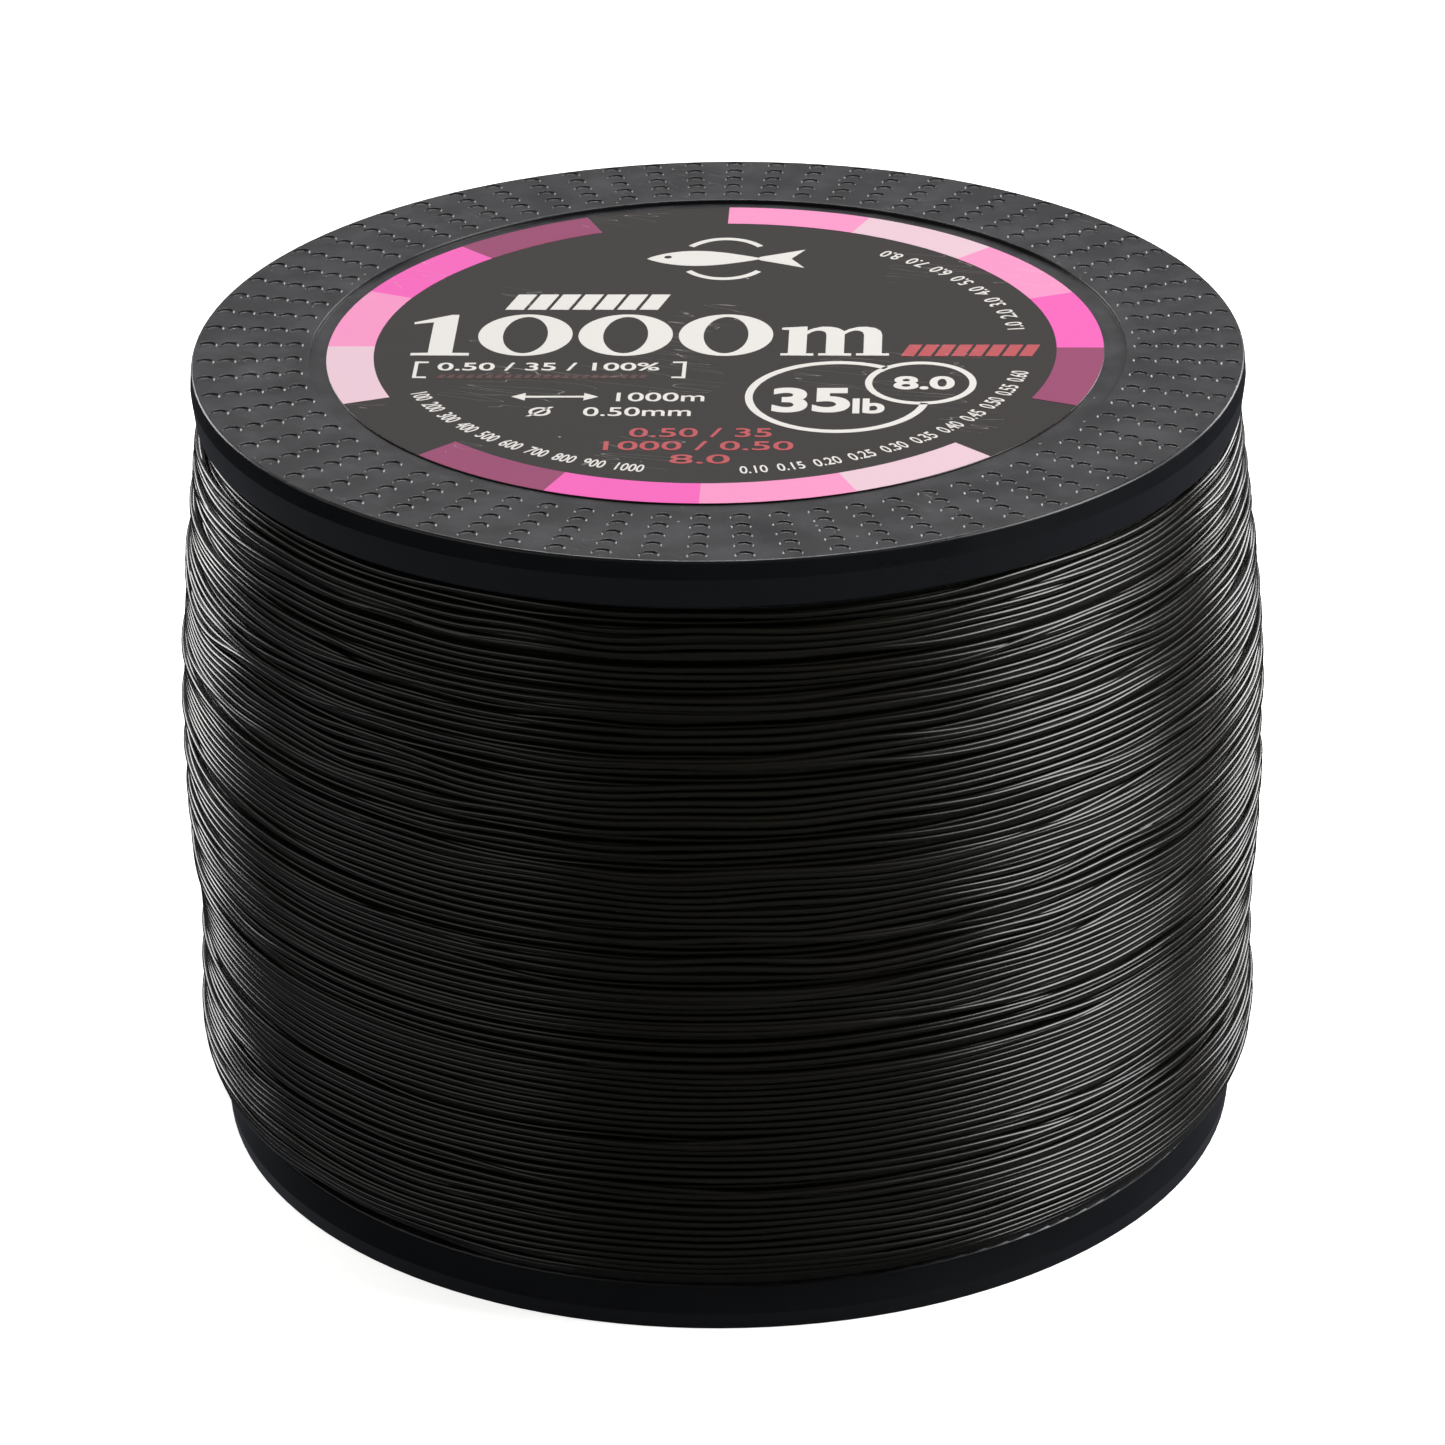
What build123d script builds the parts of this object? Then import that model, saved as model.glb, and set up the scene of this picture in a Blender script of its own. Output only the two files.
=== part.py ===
# Bulk spool of nylon fishing line: two dimpled flange mouldings snapped into a core barrel, the line
# wound on it past the flanges' rims, and a round label in each flange's recess.
# Millimetres, +Z up. The origin is on the spool's axis, at the outer face of the lower flange.
import os
from build123d import *

# The spool as a whole
flange_dia = 84.0  # at the parting line, the widest part of a rim
winding_width = 57.9  # between the inner faces of the flanges

# Flange rim and plate
rim_outer_band = 1.45  # height from the parting line to the outer face
rim_inner_band = 2.5  # height from the parting line to the inner face
outer_draft = 0.13  # radius lost over the outer band
inner_draft = 0.29  # radius lost over the inner band
rim_round = 0.25  # rounding of the rim's two edges
hub_floor = 2.0  # plate thickness inside the collar

# Dimples in each outer face, in straight radial rows
dimple_band = 9.5  # from the parting line to the recess's edge
dimple_rows = 72
dimple_dia = 1.6
dimple_floor_dia = 1.3
dimple_depth = 0.12
dimple_pitch = 1.73  # from ring to ring
dimple_edge = 1.21  # from the outermost ring's centres to the parting line
dimple_land = 0.3  # least plain face between a dimple and the recess's edge
dimple_turn = 2.5  # angle of the first row, degrees

# Label recess and label
recess_depth = 0.35
recess_round = 0.1
label_margin = 1.5  # bare recess floor around the label
label_thickness = 0.12
punch_margin = 1.0  # the lower label is punched this much wider than the bore, on the radius

# Spindle bore and its tube
bore_dia = 16.0
bore_wall = 1.6

# Core barrel and the collar that holds it
barrel_dia = 40.0
barrel_wall = 2.0
seat_depth = 1.2  # how far each end of the barrel sinks into its flange
seat_clearance = 0.1  # around the barrel's end and between barrel and collar
collar_wall = 1.6
collar_height = 9.0  # above the seat
collar_slots = 8
slot_width = 1.5
rib_count = 6
rib_thickness = 1.2
rib_height = 6.0

# Snap hooks on the collar and their windows in the barrel
hook_count = 4
hook_arc = 16.0  # degrees
hook_reach = 1.2  # beyond the collar
hook_height = 2.0
hook_rise = 4.5  # from the seat to the hook's catch face
window_clearance = 0.15

# Start of the line, knotted inside the barrel
line_dia = 0.5
anchor_hole_dia = 1.6
knot_dia = 2.6
knot_gap = 0.05

# Outside of the winding: share of the width up from the lower flange, and reach past the parting line
winding_outline = [
    (0.0, -1.0), (0.03, 0.9), (0.1, 1.6), (0.2, 1.3), (0.35, 1.65), (0.64, 1.7), (0.78, 1.0),
    (0.91, 0.05), (1.0, -0.6),
]

rim_height = rim_outer_band + rim_inner_band
height = winding_width + 2 * rim_height
flange_r = flange_dia / 2
recess_r = flange_r - dimple_band
label_r = recess_r - label_margin
dimple_rings = 1 + int((dimple_band - dimple_edge - dimple_dia / 2 - dimple_land) / dimple_pitch)
bore_r = bore_dia / 2
tube_r = bore_r + bore_wall
barrel_r = barrel_dia / 2
barrel_bore_r = barrel_r - barrel_wall
collar_r = barrel_bore_r - seat_clearance
collar_bore_r = collar_r - collar_wall
seat_level = rim_height - seat_depth  # from a flange's outer face
collar_top = seat_level + collar_height
hook_level = seat_level + hook_rise
middle = height / 2

# Planes at each outer face, with their normals pointing into the spool
lower_face = Plane.XY
upper_face = Plane(origin=(0, 0, height), x_dir=(1, 0, 0), z_dir=(0, 0, -1))


def half_section(face, angle=0):
    """Plane through the axis: x runs outward and y runs inward from the outer face."""
    turned = face.rotated((0, 0, angle))
    return Plane(origin=turned.origin, x_dir=turned.x_dir, z_dir=-turned.y_dir)


def flange(face):
    """One flange moulding: plate, rim, dimples, label recess, spindle tube, collar, hooks and ribs."""
    with BuildPart(face) as moulding:
        with BuildSketch(half_section(face)):
            with BuildLine():
                Polyline(
                    (bore_r, recess_depth),
                    (recess_r, recess_depth),
                    (recess_r, 0),
                    (flange_r - outer_draft, 0),
                    (flange_r, rim_outer_band),
                    (flange_r - inner_draft, rim_height),
                    (barrel_r + seat_clearance, rim_height),
                    (barrel_r + seat_clearance, seat_level),
                    (collar_r, seat_level),
                    (collar_r, collar_top),
                    (collar_bore_r, collar_top),
                    (collar_bore_r, hub_floor),
                    (tube_r, hub_floor),
                    (tube_r, middle),
                    (bore_r, middle),
                    close=True,
                )
            make_face()
        revolve(axis=Axis.Z)

        # Roundings of the rim's edges and of the recess's edge
        def circles_at(radius, depth):
            level = (face.origin + face.z_dir * depth).Z
            return (
                moulding.edges()
                .filter_by(GeomType.CIRCLE)
                .filter_by(lambda e: abs(e.radius - radius) < 0.01 and abs(e.center().Z - level) < 0.01)
            )

        fillet(circles_at(flange_r - outer_draft, 0), rim_round)
        fillet(circles_at(flange_r - inner_draft, rim_height), rim_round)
        fillet(circles_at(recess_r, 0), recess_round)

        # Slots that leave the collar springy
        with Locations((0, 0, seat_level + collar_height / 2 + hub_floor)):
            with PolarLocations((collar_r + collar_bore_r) / 2, collar_slots, start_angle=180 / collar_slots):
                Box(2 * collar_wall, slot_width, collar_height, mode=Mode.SUBTRACT)

        # Ribs from the spindle tube to the collar
        rib_length = collar_bore_r - tube_r + bore_wall / 2 + collar_wall / 2
        with Locations((0, 0, hub_floor)):
            with PolarLocations((collar_bore_r + tube_r) / 2, rib_count):
                Box(rib_length, rib_thickness, rib_height, align=(Align.CENTER, Align.CENTER, Align.MIN))

        # Snap hooks, square towards the flange and sloped towards the barrel's middle
        for k in range(hook_count):
            with BuildSketch(half_section(face, k * 360 / hook_count - hook_arc / 2)):
                with BuildLine():
                    Polyline(
                        (collar_bore_r + collar_wall / 2, hook_level),
                        (collar_r + hook_reach, hook_level),
                        (collar_r + hook_reach, hook_level + hook_height / 4),
                        (collar_r, hook_level + hook_height),
                        (collar_bore_r + collar_wall / 2, hook_level + hook_height),
                        close=True,
                    )
                make_face()
            revolve(axis=Axis.Z, revolution_arc=hook_arc)

        # Dimples
        for ring in range(dimple_rings):
            ring_r = flange_r - dimple_edge - ring * dimple_pitch
            with PolarLocations(ring_r, dimple_rows, start_angle=dimple_turn):
                Cone(
                    dimple_dia / 2,
                    dimple_floor_dia / 2,
                    dimple_depth,
                    align=(Align.CENTER, Align.CENTER, Align.MIN),
                    mode=Mode.SUBTRACT,
                )
    return moulding


def label(face, punched):
    """A round label lying on the floor of a flange's recess, punched over the bore or whole."""
    with BuildPart() as disc:
        with BuildSketch(face.offset(recess_depth - label_thickness)):
            Circle(label_r)
            if punched:
                Circle(bore_r + punch_margin, mode=Mode.SUBTRACT)
        extrude(amount=label_thickness)
    return disc


lower_flange = flange(lower_face)
upper_flange = flange(upper_face)

# The barrel, with a window for each hook and the hole for the start of the line
with BuildPart() as core_barrel:
    with BuildSketch(Plane.XY.offset(seat_level)):
        Circle(barrel_r)
        Circle(barrel_bore_r, mode=Mode.SUBTRACT)
    extrude(amount=height - 2 * seat_level)
    window_height = hook_height + 2 * window_clearance
    window_arc = hook_arc + 2
    for face in (lower_face, upper_face):
        for k in range(hook_count):
            with BuildSketch(half_section(face, k * 360 / hook_count - window_arc / 2)):
                with Locations(((barrel_r + barrel_bore_r) / 2, hook_level + hook_height / 2)):
                    Rectangle(2 * barrel_wall, window_height)
            revolve(axis=Axis.Z, revolution_arc=window_arc, mode=Mode.SUBTRACT)
    with BuildSketch(Plane.YZ.offset(barrel_r)):
        with Locations((0, middle)):
            Circle(anchor_hole_dia / 2)
    extrude(amount=-2 * barrel_wall, mode=Mode.SUBTRACT)

# The line's first centimetre: through the barrel's hole to a knot inside
with BuildPart() as line_start_knot:
    knot_x = barrel_bore_r - knot_dia / 2 - knot_gap
    with Locations((knot_x, 0, middle)):
        Sphere(knot_dia / 2)
    with BuildSketch(Plane.YZ.offset(knot_x)):
        with Locations((0, middle)):
            Circle(line_dia / 2)
    extrude(amount=barrel_r - knot_x - line_dia / 50)

# The wound line as one closed ring, fuller than the flanges over most of its width
with BuildPart() as line_winding:
    outline = [(flange_r + reach, rim_height + share * winding_width) for share, reach in winding_outline]
    with BuildSketch(Plane.XZ):
        with BuildLine():
            Spline(outline)
            Polyline(
                outline[-1], (barrel_r, rim_height + winding_width), (barrel_r, rim_height), outline[0]
            )
        make_face()
    revolve(axis=Axis.Z)

top_label = label(upper_face, punched=False)
bottom_label = label(lower_face, punched=True)

pieces = {
    "lower_flange": lower_flange,
    "upper_flange": upper_flange,
    "core_barrel": core_barrel,
    "line_start_knot": line_start_knot,
    "line_winding": line_winding,
    "top_label": top_label,
    "bottom_label": bottom_label,
}
os.makedirs("parts", exist_ok=True)
for name, piece in pieces.items():
    piece.part.label = name
    export_step(piece.part, f"parts/{name}.step")
    print(name, "volume", round(piece.part.volume / 1000, 2), "cm3")
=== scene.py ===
import bmesh
import bpy
import math
import numpy as np
from mathutils import Matrix, Vector


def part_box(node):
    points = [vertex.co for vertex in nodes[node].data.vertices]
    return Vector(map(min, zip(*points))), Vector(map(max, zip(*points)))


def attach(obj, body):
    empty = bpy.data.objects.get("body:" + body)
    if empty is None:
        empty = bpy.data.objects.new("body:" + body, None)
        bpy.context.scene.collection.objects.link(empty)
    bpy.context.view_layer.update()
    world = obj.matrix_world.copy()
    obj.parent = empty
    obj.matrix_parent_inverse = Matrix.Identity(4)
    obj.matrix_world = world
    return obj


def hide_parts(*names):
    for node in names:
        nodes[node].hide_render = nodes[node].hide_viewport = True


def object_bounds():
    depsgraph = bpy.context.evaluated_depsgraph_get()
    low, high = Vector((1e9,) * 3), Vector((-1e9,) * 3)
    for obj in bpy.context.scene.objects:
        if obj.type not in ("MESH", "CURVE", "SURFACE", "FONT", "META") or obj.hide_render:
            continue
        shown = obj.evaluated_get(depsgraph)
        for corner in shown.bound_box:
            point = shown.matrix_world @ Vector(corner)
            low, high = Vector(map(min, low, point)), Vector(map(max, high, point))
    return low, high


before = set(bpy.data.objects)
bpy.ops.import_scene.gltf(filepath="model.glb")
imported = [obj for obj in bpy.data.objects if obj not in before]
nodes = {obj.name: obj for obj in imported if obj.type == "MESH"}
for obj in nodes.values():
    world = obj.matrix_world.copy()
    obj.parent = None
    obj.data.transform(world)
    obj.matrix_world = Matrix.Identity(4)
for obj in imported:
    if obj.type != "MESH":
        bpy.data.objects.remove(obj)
cadBox = [list(corner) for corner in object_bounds()]
mm = 0.001

upperLow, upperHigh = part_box("upper_flange")
windingLow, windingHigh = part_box("line_winding")
labelLow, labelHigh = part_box("top_label")
barrelLow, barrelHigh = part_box("core_barrel")
flangeRadius = (upperHigh.x - upperLow.x) / 2
labelRadius = (labelHigh.x - labelLow.x) / 2
barrelRadius = (barrelHigh.x - barrelLow.x) / 2
spoolHeight = upperHigh.z


# node and mesh helpers

def feed(tree, socket, value):
    # links another node's output to an input, or sets the input's constant
    if isinstance(value, bpy.types.NodeSocket):
        tree.links.new(value, socket)
    else:
        socket.default_value = value


def addNode(tree, kind, inputs=None, **settings):
    node = tree.nodes.new(kind)
    for key, value in settings.items():
        setattr(node, key, value)
    for key, value in (inputs or {}).items():
        feed(tree, node.inputs[key], value)
    return node


def newMaterial(name):
    material = bpy.data.materials.new(name)
    material.use_nodes = True
    material.node_tree.nodes.clear()
    return material, material.node_tree


def finishMaterial(tree, shader):
    output = tree.nodes.new("ShaderNodeOutputMaterial")
    tree.links.new(shader.outputs[0], output.inputs["Surface"])


def newGroup(name, inputs, outputs):
    group = bpy.data.node_groups.new(name, "ShaderNodeTree")
    for label, kind, value in inputs:
        socket = group.interface.new_socket(name=label, in_out="INPUT", socket_type=kind)
        socket.default_value = value
    for label, kind in outputs:
        group.interface.new_socket(name=label, in_out="OUTPUT", socket_type=kind)
    return group, group.nodes.new("NodeGroupInput"), group.nodes.new("NodeGroupOutput")


def useGroup(tree, group, **values):
    node = tree.nodes.new("ShaderNodeGroup")
    node.node_tree = group
    for key, value in values.items():
        feed(tree, node.inputs[key], value)
    return node


def mathNode(tree, operation, *values):
    node = addNode(tree, "ShaderNodeMath", operation=operation)
    for socket, value in zip(node.inputs, values):
        feed(tree, socket, value)
    return node.outputs[0]


def mixColour(tree, factor, first, second, blend="MIX"):
    # inputs 0, 6 and 7 and output 2 are the factor and the colours
    inputs = {0: factor, 6: first, 7: second}
    return addNode(tree, "ShaderNodeMix", inputs, data_type="RGBA", blend_type=blend).outputs[2]


def rangeNode(tree, value, **limits):
    # limits are FromMin, FromMax, ToMin and ToMax
    names = {"FromMin": "From Min", "FromMax": "From Max", "ToMin": "To Min", "ToMax": "To Max"}
    inputs = {"Value": value} | {names[key]: limit for key, limit in limits.items()}
    return addNode(tree, "ShaderNodeMapRange", inputs)


def addMesh(name, points, faces, material, smooth=True):
    mesh = bpy.data.meshes.new(name)
    mesh.from_pydata(points, [], faces)
    mesh.update()
    if smooth:
        mesh.polygons.foreach_set("use_smooth", np.ones(len(mesh.polygons), bool))
    mesh.materials.append(material)
    piece = bpy.data.objects.new(name, mesh)
    bpy.context.scene.collection.objects.link(piece)
    return piece


def latheMesh(outline, steps):
    # turns an open outline of (radius, height) points, whose ends are on the axis, about Z
    ring = outline[1:-1]
    points = [(r * math.cos(2 * math.pi * i / steps), r * math.sin(2 * math.pi * i / steps), z)
              for i in range(steps) for r, z in ring]
    wide, faces = len(ring), []
    for i in range(steps):
        here, onward = i * wide, (i + 1) % steps * wide
        faces += [(here + j, onward + j, onward + j + 1, here + j + 1) for j in range(wide - 1)]
    first, last = len(points), len(points) + 1
    points += [(0, 0, outline[0][1]), (0, 0, outline[-1][1])]
    for i in range(steps):
        here, onward = i * wide, (i + 1) % steps * wide
        faces += [(first, onward, here), (last, here + wide - 1, onward + wide - 1)]
    return points, faces


def place(piece, slotName, *replaced):
    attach(piece, "root")
    if replaced:
        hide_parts(*replaced)


# camera

camera = {
    "lens": 152.2,
    "distance": 501.6 * mm,
    "elevation": math.radians(25.87),
    "pivotHeight": 31.5 * mm,
    "aim": (-0.08 * mm, 0.0, 32.48 * mm),
    "roll": math.radians(-0.909),
}


def addCamera(c):
    data = bpy.data.cameras.new("camera")
    data.lens, data.sensor_width = c["lens"], 36.0
    data.clip_start, data.clip_end = 0.01, 20.0
    item = bpy.data.objects.new("camera", data)
    bpy.context.scene.collection.objects.link(item)
    back = Vector((0, -math.cos(c["elevation"]), math.sin(c["elevation"])))
    item.location = Vector((0, 0, c["pivotHeight"])) + back * c["distance"]
    look = (Vector(c["aim"]) - item.location).to_track_quat("-Z", "Y")
    item.rotation_mode = "QUATERNION"
    item.rotation_quaternion = look @ Matrix.Rotation(c["roll"], 3, "Z").to_quaternion()
    bpy.context.scene.camera = item


addCamera(camera)
print("camera placed")


# shared surface effects

def dustGroup():
    group, start, end = newGroup(
        "dustSpecks",
        [("Scale", "NodeSocketFloat", 900.0), ("Size", "NodeSocketFloat", 0.1),
         ("Share", "NodeSocketFloat", 0.1)],
        [("Mask", "NodeSocketFloat")],
    )
    where = group.nodes.new("ShaderNodeTexCoord")
    cells = addNode(group, "ShaderNodeTexVoronoi", {
        "Vector": where.outputs["Object"], "Scale": start.outputs["Scale"]})
    chance = mathNode(group, "LESS_THAN", cells.outputs["Color"], start.outputs["Share"])
    near = mathNode(group, "LESS_THAN", cells.outputs["Distance"], start.outputs["Size"])
    group.links.new(mathNode(group, "MULTIPLY", chance, near), end.inputs["Mask"])
    return group


def scratchGroup():
    group, start, end = newGroup(
        "fineScratches",
        [("Scale", "NodeSocketFloat", 60.0), ("Width", "NodeSocketFloat", 0.02),
         ("Angle", "NodeSocketFloat", 0.0)],
        [("Mask", "NodeSocketFloat")],
    )
    where = group.nodes.new("ShaderNodeTexCoord")
    turned = addNode(group, "ShaderNodeVectorRotate", {
        "Vector": where.outputs["Object"], "Angle": start.outputs["Angle"]}, rotation_type="Z_AXIS")
    # thin level lines of a stretched noise, kept in a few patches
    stretched = addNode(group, "ShaderNodeVectorMath", {
        0: turned.outputs[0], 1: (1.0, 7.0, 1.0)}, operation="MULTIPLY")
    bent = addNode(group, "ShaderNodeTexNoise", {
        "Vector": stretched.outputs[0], "Scale": start.outputs["Scale"], "Detail": 1.0})
    level = mathNode(group, "ABSOLUTE", mathNode(group, "SUBTRACT", bent.outputs["Fac"], 0.5))
    scratch = mathNode(group, "LESS_THAN", level, start.outputs["Width"])
    patch = addNode(group, "ShaderNodeTexNoise", {
        "Vector": where.outputs["Object"], "Scale": 90.0, "Detail": 0.0})
    kept = mathNode(group, "GREATER_THAN", patch.outputs["Fac"], 0.62)
    group.links.new(mathNode(group, "MULTIPLY", scratch, kept), end.inputs["Mask"])
    return group


def grainGroup():
    group, start, end = newGroup(
        "mouldGrain",
        [("Scale", "NodeSocketFloat", 4000.0), ("Softness", "NodeSocketFloat", 0.5)],
        [("Height", "NodeSocketFloat")],
    )
    where = group.nodes.new("ShaderNodeTexCoord")
    pebbles = addNode(group, "ShaderNodeTexNoise", {
        "Vector": where.outputs["Object"], "Scale": start.outputs["Scale"], "Detail": 3.0,
        "Roughness": start.outputs["Softness"]})
    group.links.new(pebbles.outputs["Fac"], end.inputs["Height"])
    return group


def waveGroup():
    # a film lying over a hole on the axis sags into it and is a little uneven elsewhere
    group, start, end = newGroup(
        "filmWaves", [("Across", "NodeSocketFloat", 0.009)], [("Height", "NodeSocketFloat")])
    where = group.nodes.new("ShaderNodeTexCoord")
    flat = addNode(group, "ShaderNodeVectorMath", {
        0: where.outputs["Object"], 1: (1.0, 1.0, 0.0)}, operation="MULTIPLY")
    away = addNode(group, "ShaderNodeVectorMath", {0: flat.outputs[0]}, operation="LENGTH")
    ratio = mathNode(group, "DIVIDE", away.outputs["Value"], start.outputs["Across"])
    sag = rangeNode(group, ratio, FromMin=0.75, FromMax=1.05)
    sag.interpolation_type = "SMOOTHSTEP"
    uneven = addNode(group, "ShaderNodeTexNoise", {
        "Vector": where.outputs["Object"], "Scale": 110.0, "Detail": 1.0})
    height = mathNode(group, "MULTIPLY_ADD", sag.outputs["Result"], 0.5, uneven.outputs["Fac"])
    group.links.new(height, end.inputs["Height"])
    return group


dust = dustGroup()
waves = waveGroup()
scratches = scratchGroup()
grain = grainGroup()


def wornMask(tree, p):
    # dust specks and fine scratches, each at its own strength
    specks = useGroup(tree, dust, **p["dust"])
    marks = useGroup(tree, scratches, **p["scratches"])
    return mathNode(tree, "MAXIMUM", mathNode(tree, "MULTIPLY", specks.outputs["Mask"], p["dustAmount"]),
                    mathNode(tree, "MULTIPLY", marks.outputs["Mask"], p["scratchAmount"]))


# flange plastic

plastic = {
    "colour": (0.0036, 0.0042, 0.0056, 1),
    "paleColour": (0.0058, 0.0066, 0.0082, 1),
    # a lighter tone painted on the flat faces as sheen, standing in for their mottled reflections
    "paintedSheenColour": (0.030, 0.028, 0.031, 1),
    "dustColour": (0.42, 0.40, 0.38, 1),
    "edge": 0.09 * mm,  # rounding of the moulded edges
    "roughness": (0.22, 0.40),
    "ior": 1.44,
    "grain": {"Scale": 3500.0, "Softness": 0.6},
    "grainHeight": 0.006 * mm,
    "dust": {"Scale": 900.0, "Size": 0.1, "Share": 0.2},
    "dustAmount": 0.5,
    "scratches": {"Scale": 150.0, "Width": 0.004, "Angle": 0.7},
    "scratchAmount": 0.16,
    "flatAbove": 0.8,  # painted sheen, dust and scratches lie only where the normal's Z is past this
}


def flangePlastic(p):
    material, tree = newMaterial("flangePlastic")
    where = tree.nodes.new("ShaderNodeTexCoord")
    cloud = addNode(tree, "ShaderNodeTexNoise", {
        "Vector": where.outputs["Object"], "Scale": 160.0, "Detail": 5.0})
    # lighter smeared patches on the flat faces are painted sheen, standing in for the mottled reflections of
    # the top face
    sheenPattern = addNode(tree, "ShaderNodeTexNoise", {
        "Vector": where.outputs["Object"], "Scale": 230.0, "Detail": 6.0, "Roughness": 0.62})
    paintedSheen = rangeNode(tree, sheenPattern.outputs["Fac"], FromMin=0.42, FromMax=0.68)
    facing = addNode(tree, "ShaderNodeSeparateXYZ", {0: where.outputs["Normal"]})
    upright = mathNode(tree, "ABSOLUTE", facing.outputs["Z"])
    flat = mathNode(tree, "GREATER_THAN", upright, p["flatAbove"])
    dirt = mathNode(tree, "MULTIPLY", wornMask(tree, p), flat)
    plain = mixColour(tree, cloud.outputs["Fac"], p["colour"], p["paleColour"])
    sheenOnFlat = mathNode(tree, "MULTIPLY", paintedSheen.outputs["Result"], flat)
    colour = mixColour(tree, dirt, mixColour(tree, sheenOnFlat, plain, p["paintedSheenColour"]), p["dustColour"])
    low, high = p["roughness"]
    rough = rangeNode(tree, cloud.outputs["Fac"], ToMin=low, ToMax=high)
    pebble = useGroup(tree, grain, **p["grain"])
    edges = addNode(tree, "ShaderNodeBevel", {"Radius": p["edge"]}, samples=6)
    bump = addNode(tree, "ShaderNodeBump", {
        "Height": pebble.outputs["Height"], "Strength": 0.5, "Distance": p["grainHeight"],
        "Normal": edges.outputs["Normal"]})
    shader = addNode(tree, "ShaderNodeBsdfPrincipled", {
        "Base Color": colour, "Roughness": rough.outputs["Result"], "Normal": bump.outputs["Normal"],
        "IOR": p["ior"]})
    finishMaterial(tree, shader)
    return material


def dressNode(name, material):
    piece = nodes[name]
    piece.data.materials.clear()
    piece.data.materials.append(material)


flangeMaterial = flangePlastic(plastic)
for nodeName in ("upper_flange", "lower_flange", "core_barrel"):
    dressNode(nodeName, flangeMaterial)
print("flanges dressed")


# nylon line

line = {
    "diameter": 0.5 * mm,
    "stations": 360,  # around one turn
    "sides": 8,
    "cell": 0.04 * mm,  # of the height map that the turns settle on
    "coreDepth": 0.98 * mm,  # from the winding's outside to the plain core under the two drawn layers
    "turnsPerPiece": 34,
    "pull": 0.09 * mm,  # how far a turn slides sideways into a groove
    "crowd": 1.07,  # least space between neighbouring turns, in diameters
    "proud": 0.25 * mm,  # how far a crossing may stand out of the winding's outside
    "seed": 11,
    "colour": (0.0040, 0.0036, 0.0023, 1),
    "paleColour": (0.0078, 0.0074, 0.0052, 1),
    "roughness": (0.20, 0.29),
    "ior": 1.53,
    "streaks": (30.0, 30.0, 900.0),  # scale of the colour's noise, finest up the spool
    # places where the winding's lower shoulder is pulled in: azimuth, half width in degrees, depth
    "shoulders": [(229, 26, 2.5 * mm), (315, 24, 2.1 * mm), (25, 22, 1.6 * mm), (120, 28, 2.0 * mm)],
    "shoulderHeight": 3.2 * mm,
    "edgeReach": 0.5 * mm,  # past the flange's rim between those places
    # the two drawn layers: mean pitch and its spread, slow and quick wander, and stray turns as
    # (count, least reach, most reach)
    "layers": [
        {"pitch": 0.575 * mm, "spread": 0.04, "slow": 0.05 * mm, "ripple": 0.012 * mm,
         "quick": 0.016 * mm, "strays": [(6, 0.5 * mm, 1.0 * mm)]},
        {"pitch": 0.6 * mm, "spread": 0.045, "slow": 0.06 * mm, "ripple": 0.02 * mm,
         "quick": 0.03 * mm, "strays": [(90, 0.35 * mm, 0.8 * mm), (12, 0.9 * mm, 1.6 * mm)]},
    ],
}


def nylonMaterial(s):
    material, tree = newMaterial("nylonLine")
    where = tree.nodes.new("ShaderNodeTexCoord")
    streaks = addNode(tree, "ShaderNodeVectorMath", {
        0: where.outputs["Object"], 1: s["streaks"]}, operation="MULTIPLY")
    tone = addNode(tree, "ShaderNodeTexNoise", {"Vector": streaks.outputs[0], "Scale": 1.0, "Detail": 2.0})
    colour = mixColour(tree, tone.outputs["Fac"], s["colour"], s["paleColour"])
    low, high = s["roughness"]
    rough = rangeNode(tree, tone.outputs["Fac"], ToMin=low, ToMax=high)
    shader = addNode(tree, "ShaderNodeBsdfPrincipled", {
        "Base Color": colour, "Roughness": rough.outputs["Result"], "IOR": s["ior"]})
    finishMaterial(tree, shader)
    return material


def windingOutline():
    # heights of the CAD winding's outside, and its radius at each
    mesh = nodes["line_winding"].data
    points = np.empty(len(mesh.vertices) * 3)
    mesh.vertices.foreach_get("co", points)
    points = points.reshape(-1, 3)
    radius, level = np.hypot(points[:, 0], points[:, 1]), np.round(points[:, 2], 6)
    levels = np.unique(level)
    return levels, np.array([radius[level == z].max() for z in levels])


outlineLevels, outlineRadii = windingOutline()


def coreRadius(azimuth, level, s):
    # outside of the plain core, with the lower shoulder pulled in at some azimuths
    radius = np.interp(level, outlineLevels, outlineRadii) - s["coreDepth"]
    rise = np.clip((level - outlineLevels[0]) / s["shoulderHeight"], 0, 1)
    fall = 1 - rise * rise * (3 - 2 * rise)
    edge = flangeRadius + s["edgeReach"] - s["coreDepth"]
    radius = radius + fall * (edge - (outlineRadii[0] - s["coreDepth"]))
    for centre, half, depth in s["shoulders"]:
        away = (np.degrees(azimuth) - centre + 180) % 360 - 180
        radius = radius - fall * depth * np.exp(-((away / half) ** 4))
    return radius


def smoothAlong(values, width):
    # Gaussian smoothing, width being its deviation in samples
    reach = int(width * 3)
    window = np.exp(-0.5 * (np.arange(-reach, reach + 1) / width) ** 2)
    padded = np.pad(values, reach, mode="edge")
    return np.convolve(padded, window / window.sum(), mode="valid")


def slowNoise(random, count, width):
    # smoothed noise of deviation 1
    spare = 4  # samples dropped at each end
    values = smoothAlong(random.normal(size=count + 2 * spare), width)[spare:spare + count]
    return values / max(values.std(), 1e-9)


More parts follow.
